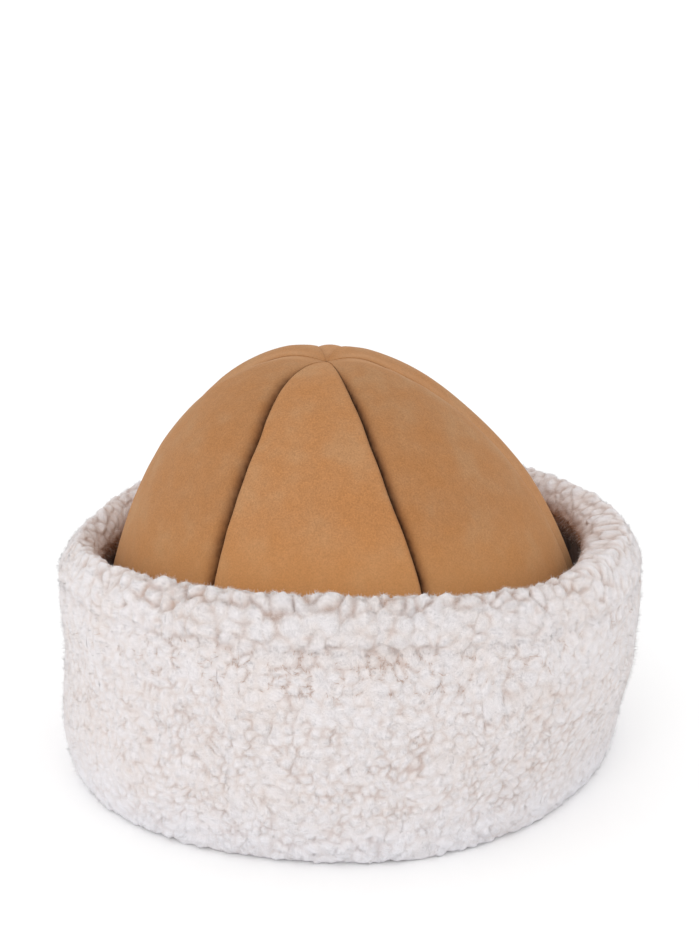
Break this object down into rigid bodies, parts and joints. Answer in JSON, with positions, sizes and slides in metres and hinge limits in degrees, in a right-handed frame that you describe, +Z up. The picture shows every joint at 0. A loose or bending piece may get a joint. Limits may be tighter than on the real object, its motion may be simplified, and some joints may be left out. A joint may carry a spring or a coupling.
{
  "type": "sheepskin beanie",
  "caption": "Sheepskin hat: a rounded crown of suede gores inside a deep turned-up fleece cuff, open underneath for the head.",
  "frame": {"origin": "on the surface that the hat rests on, under the middle of the cuff", "axes": "+Z up, -Y the hat's front, as the picture shows it, +X to the right in the picture"},
  "size_m": [0.2344, 0.2338, 0.1637],
  "materials": {
    "suede": "brushed suede, tan, matte with a short nap",
    "fleece": "curly clipped wool pile, cream, matte"
  },
  "bodies": {
    "root": {"crown_gore_front": "suede", "crown_gore_front_right": "suede", "crown_gore_back_right": "suede", "crown_gore_back": "suede", "crown_gore_back_left": "suede", "crown_gore_front_left": "suede", "fleece_cuff": "fleece"}
  },
  "joints": []
}
